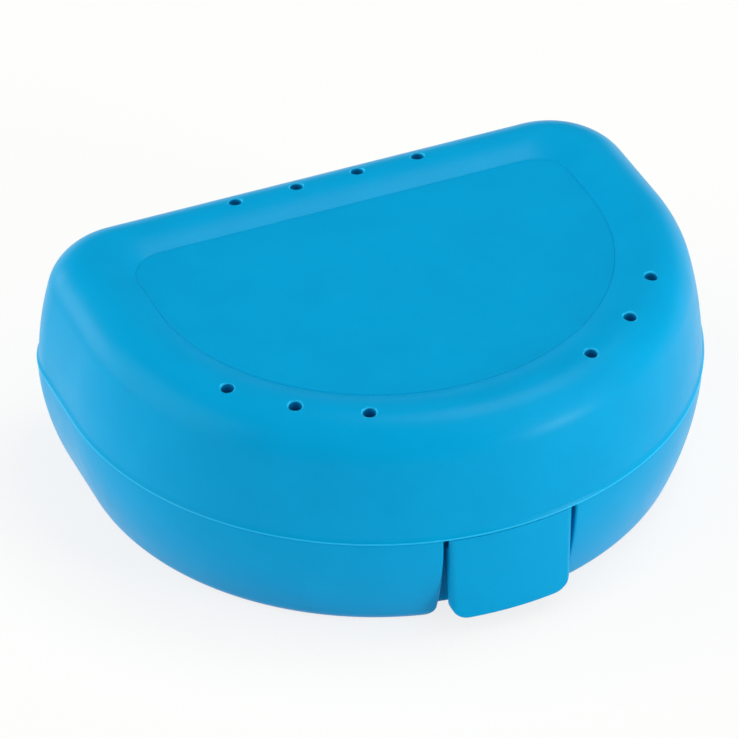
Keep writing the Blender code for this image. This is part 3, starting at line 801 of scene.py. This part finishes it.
def mark_painted_highlight(piece, low, high):
    """Mark the outer faces between two heights, and those round the vents, for a painted highlight."""
    centres = [place for place, outward in vent_places()]
    vents_low = crest_height(VENT_INSET) - 2 * VENT_ROUND
    mesh = piece.data
    mark = mesh.attributes.new(HIGHLIGHT_MARK, "FLOAT", "FACE")
    for face in mesh.polygons:
        middle = face.center
        outwards = face.normal.x * middle.x + face.normal.y * middle.y > 0
        on_rim = outwards and low < middle.z < high
        on_vent = middle.z >= vents_low and on_vent_edge(mesh, face, centres)
        mark.data[face.index].value = float(on_rim or on_vent)


def finish_mesh(piece):
    """Give smooth shading with crisp edges, and normals that follow the large faces."""
    piece.data.shade_smooth()
    piece.data.set_sharp_from_angle(angle=SHARP_ANGLE)
    weigh = piece.modifiers.new("weigh_normals", "WEIGHTED_NORMAL")
    weigh.keep_sharp = True


def add_node(tree, kind, **settings):
    """A new shader node with the settings given by name."""
    node = tree.nodes.new(kind)
    for key, value in settings.items():
        setattr(node, key, value)
    return node


def noise(tree, places, scale, detail):
    """Soft noise over the places. Scale is its waves per metre, and detail adds finer ones."""
    node = add_node(tree, "ShaderNodeTexNoise")
    node.inputs["Scale"].default_value = scale
    node.inputs["Detail"].default_value = detail
    tree.links.new(places, node.inputs["Vector"])
    return node.outputs["Fac"]


def remap(tree, value, low, high, to_low, to_high):
    """Spread what lies between low and high over the range between the two last values."""
    node = add_node(tree, "ShaderNodeMapRange")
    ends = {"From Min": low, "From Max": high, "To Min": to_low, "To Max": to_high}
    for socket, number in ends.items():
        node.inputs[socket].default_value = number
    tree.links.new(value, node.inputs["Value"])
    return node.outputs["Result"]


def blend_colours(tree, factor, first, second):
    """The first colour where the factor is zero, and the second where it is one."""
    node = add_node(tree, "ShaderNodeMix", data_type="RGBA")
    tree.links.new(factor, node.inputs["Factor"])
    sockets = [socket for socket in node.inputs if socket.type == "RGBA"]
    for socket, colour in zip(sockets, (first, second)):
        if isinstance(colour, tuple):
            socket.default_value = colour
        else:
            tree.links.new(colour, socket)
    return [socket for socket in node.outputs if socket.type == "RGBA"][0]


def math_node(tree, operation, first, second):
    """What an operation makes of two values."""
    node = add_node(tree, "ShaderNodeMath", operation=operation)
    tree.links.new(first, node.inputs[0])
    tree.links.new(second, node.inputs[1])
    return node.outputs["Value"]


def satin_plastic():
    """Moulded polypropylene: an even blue with a fine grain and slight clouds, and a highlight painted on
    the marked edges.
    """
    material = bpy.data.materials.new("satin_blue_plastic")
    material.use_nodes = True
    tree = material.node_tree
    shader = tree.nodes["Principled BSDF"]
    places = add_node(tree, "ShaderNodeTexCoord").outputs["Object"]
    clouds = remap(tree, noise(tree, places, CLOUD_SCALE, CLOUD_DETAIL), NOISE_LOW, NOISE_HIGH, 0.0, 1.0)
    colour = blend_colours(tree, clouds, BLUE, BLUE_LIGHT)
    # a lighter blue painted on the marked faces as a highlight
    highlight_share = add_node(tree, "ShaderNodeAttribute", attribute_name=HIGHLIGHT_MARK).outputs["Fac"]
    colour = blend_colours(tree, highlight_share, colour, BLUE_PAINTED_HIGHLIGHT)
    tree.links.new(colour, shader.inputs["Base Color"])
    patches = noise(tree, places, GLOSS_SCALE, GLOSS_DETAIL)
    roughness = remap(tree, patches, NOISE_LOW, NOISE_HIGH, ROUGHNESS_LOW, ROUGHNESS_HIGH)
    tree.links.new(roughness, shader.inputs["Roughness"])
    shader.inputs["IOR"].default_value = PLASTIC_IOR
    shader.inputs["Specular IOR Level"].default_value = PLASTIC_SPECULAR
    grain = add_node(tree, "ShaderNodeBump")
    grain.inputs["Strength"].default_value = 1.0
    grain.inputs["Distance"].default_value = GRAIN_DEPTH
    tree.links.new(noise(tree, places, GRAIN_SCALE, GRAIN_DETAIL), grain.inputs["Height"])
    tree.links.new(grain.outputs["Normal"], shader.inputs["Normal"])
    return material


def dress(piece, node, plastic, highlight_heights):
    """Finish a moulding, make it of the plastic, and let it stand for the solid of its node."""
    mark_painted_highlight(piece, *highlight_heights)
    finish_mesh(piece)
    piece.data.materials.clear()
    piece.data.materials.append(plastic)
    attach(piece, node)
    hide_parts(node)


# Camera, light and floor

def direction(azimuth, elevation):
    """The way to a bearing and a height, both angles. Bearings run from the front round to the right."""
    level = math.cos(elevation)
    return Vector((math.sin(azimuth) * level, -math.cos(azimuth) * level, math.sin(elevation)))


def make_camera():
    """The view of the photograph."""
    away = direction(VIEW_AZIMUTH, VIEW_ELEVATION)
    lens = bpy.data.cameras.new("camera")
    lens.sensor_width = SENSOR_WIDTH
    lens.lens = SENSOR_WIDTH * VIEW_DISTANCE / VIEW_WIDTH
    lens.clip_start = VIEW_DISTANCE * CLIP_SHARE
    camera = bpy.data.objects.new("camera", lens)
    camera.location = VIEW_AIM + away * VIEW_DISTANCE
    upright = away.to_track_quat("Z", "Y").to_matrix()
    camera.rotation_euler = (upright @ Matrix.Rotation(-VIEW_ROLL, 3, "Z")).to_euler()
    bpy.context.scene.collection.objects.link(camera)
    bpy.context.scene.camera = camera


def softbox(name, azimuth, elevation, side, level):
    """A square lamp at a bearing from the case. A white card facing it would be as bright as level."""
    away = direction(math.radians(azimuth), math.radians(elevation))
    lamp = bpy.data.lights.new(name, "AREA")
    lamp.size = side
    lamp.color = LAMP_TINT
    lamp.energy = level * (math.pi * LAMP_REACH) ** 2
    box = bpy.data.objects.new(name, lamp)
    box.location = away * LAMP_REACH
    box.rotation_euler = away.to_track_quat("Z", "Y").to_euler()
    bpy.context.scene.collection.objects.link(box)


def make_lights():
    """All lamps of the studio."""
    for name, placing in LAMPS.items():
        softbox(name, *placing)


def seeing_rays(tree):
    """Two values: one is 1 for the camera's own rays, and the other for those of gloss and glass."""
    rays = add_node(tree, "ShaderNodeLightPath").outputs
    mirrored = math_node(tree, "MAXIMUM", rays["Is Glossy Ray"], rays["Is Transmission Ray"])
    return rays["Is Camera Ray"], mirrored


def make_world():
    """Even studio light, and a white sweep up to some height, which the camera, gloss and glass see."""
    world = bpy.data.worlds.new("studio")
    bpy.context.scene.world = world
    world.use_nodes = True
    tree = world.node_tree
    room = tree.nodes["Background"]
    room.inputs["Color"].default_value = ROOM_TINT
    shown = add_node(tree, "ShaderNodeBackground")
    shown.inputs["Color"].default_value = WHITE
    shown.inputs["Strength"].default_value = 1.0
    camera, mirrored = seeing_rays(tree)
    tree.links.new(remap(tree, mirrored, 0.0, 1.0, ROOM_LEVEL, CEILING_LEVEL), room.inputs["Strength"])
    split = add_node(tree, "ShaderNodeSeparateXYZ")
    tree.links.new(add_node(tree, "ShaderNodeTexCoord").outputs["Generated"], split.inputs["Vector"])
    sweep = remap(tree, split.outputs["Z"], SWEEP_LOW, SWEEP_HIGH, 1.0, 0.0)
    seen = math_node(tree, "MAXIMUM", camera, math_node(tree, "MULTIPLY", mirrored, sweep))
    mix = add_node(tree, "ShaderNodeMixShader")
    tree.links.new(seen, mix.inputs["Fac"])
    tree.links.new(room.outputs["Background"], mix.inputs[1])
    tree.links.new(shown.outputs["Background"], mix.inputs[2])
    tree.links.new(mix.outputs["Shader"], tree.nodes["World Output"].inputs["Surface"])


def pale_floor():
    """A matt near-white that shows as plain white, apart from the share that takes the shadow."""
    material = bpy.data.materials.new("pale_floor")
    material.use_nodes = True
    tree = material.node_tree
    shader = tree.nodes["Principled BSDF"]
    shader.inputs["Base Color"].default_value = FLOOR_GREY
    shader.inputs["Roughness"].default_value = FLOOR_ROUGHNESS
    shader.inputs["Specular IOR Level"].default_value = 0.0
    glow = add_node(tree, "ShaderNodeEmission")
    glow.inputs["Color"].default_value = WHITE
    glow.inputs["Strength"].default_value = 1.0
    mix = add_node(tree, "ShaderNodeMixShader")
    seen = math_node(tree, "MAXIMUM", *seeing_rays(tree))
    tree.links.new(remap(tree, seen, 0.0, 1.0, 0.0, FLOOR_WHITE_SHARE), mix.inputs["Fac"])
    tree.links.new(shader.outputs["BSDF"], mix.inputs[1])
    tree.links.new(glow.outputs["Emission"], mix.inputs[2])
    tree.links.new(mix.outputs["Shader"], tree.nodes["Material Output"].inputs["Surface"])
    return material


def make_floor():
    """The floor that the case stands on."""
    mesh = bpy.data.meshes.new("floor")
    build = bmesh.new()
    bmesh.ops.create_grid(build, x_segments=1, y_segments=1, size=FLOOR_REACH)
    build.to_mesh(mesh)
    build.free()
    mesh.materials.append(pale_floor())
    floor = bpy.data.objects.new("floor", mesh)
    bpy.context.scene.collection.objects.link(floor)


def main():
    """The studio first, then the three mouldings."""
    make_camera()
    make_world()
    make_lights()
    make_floor()
    plastic = satin_plastic()
    # the band of the lid's rim that gets the painted highlight
    rim_highlight_band = (LID_BOTTOM, LID_BOTTOM + LID_HIGHLIGHT_HEIGHT)
    nowhere = (0.0, 0.0)
    dress(make_base(), "base", plastic, nowhere)
    dress(make_lid(), "lid", plastic, rim_highlight_band)
    dress(make_tab(), "latch_tab", plastic, nowhere)
    bpy.context.scene.view_settings.view_transform = "Standard"


main()
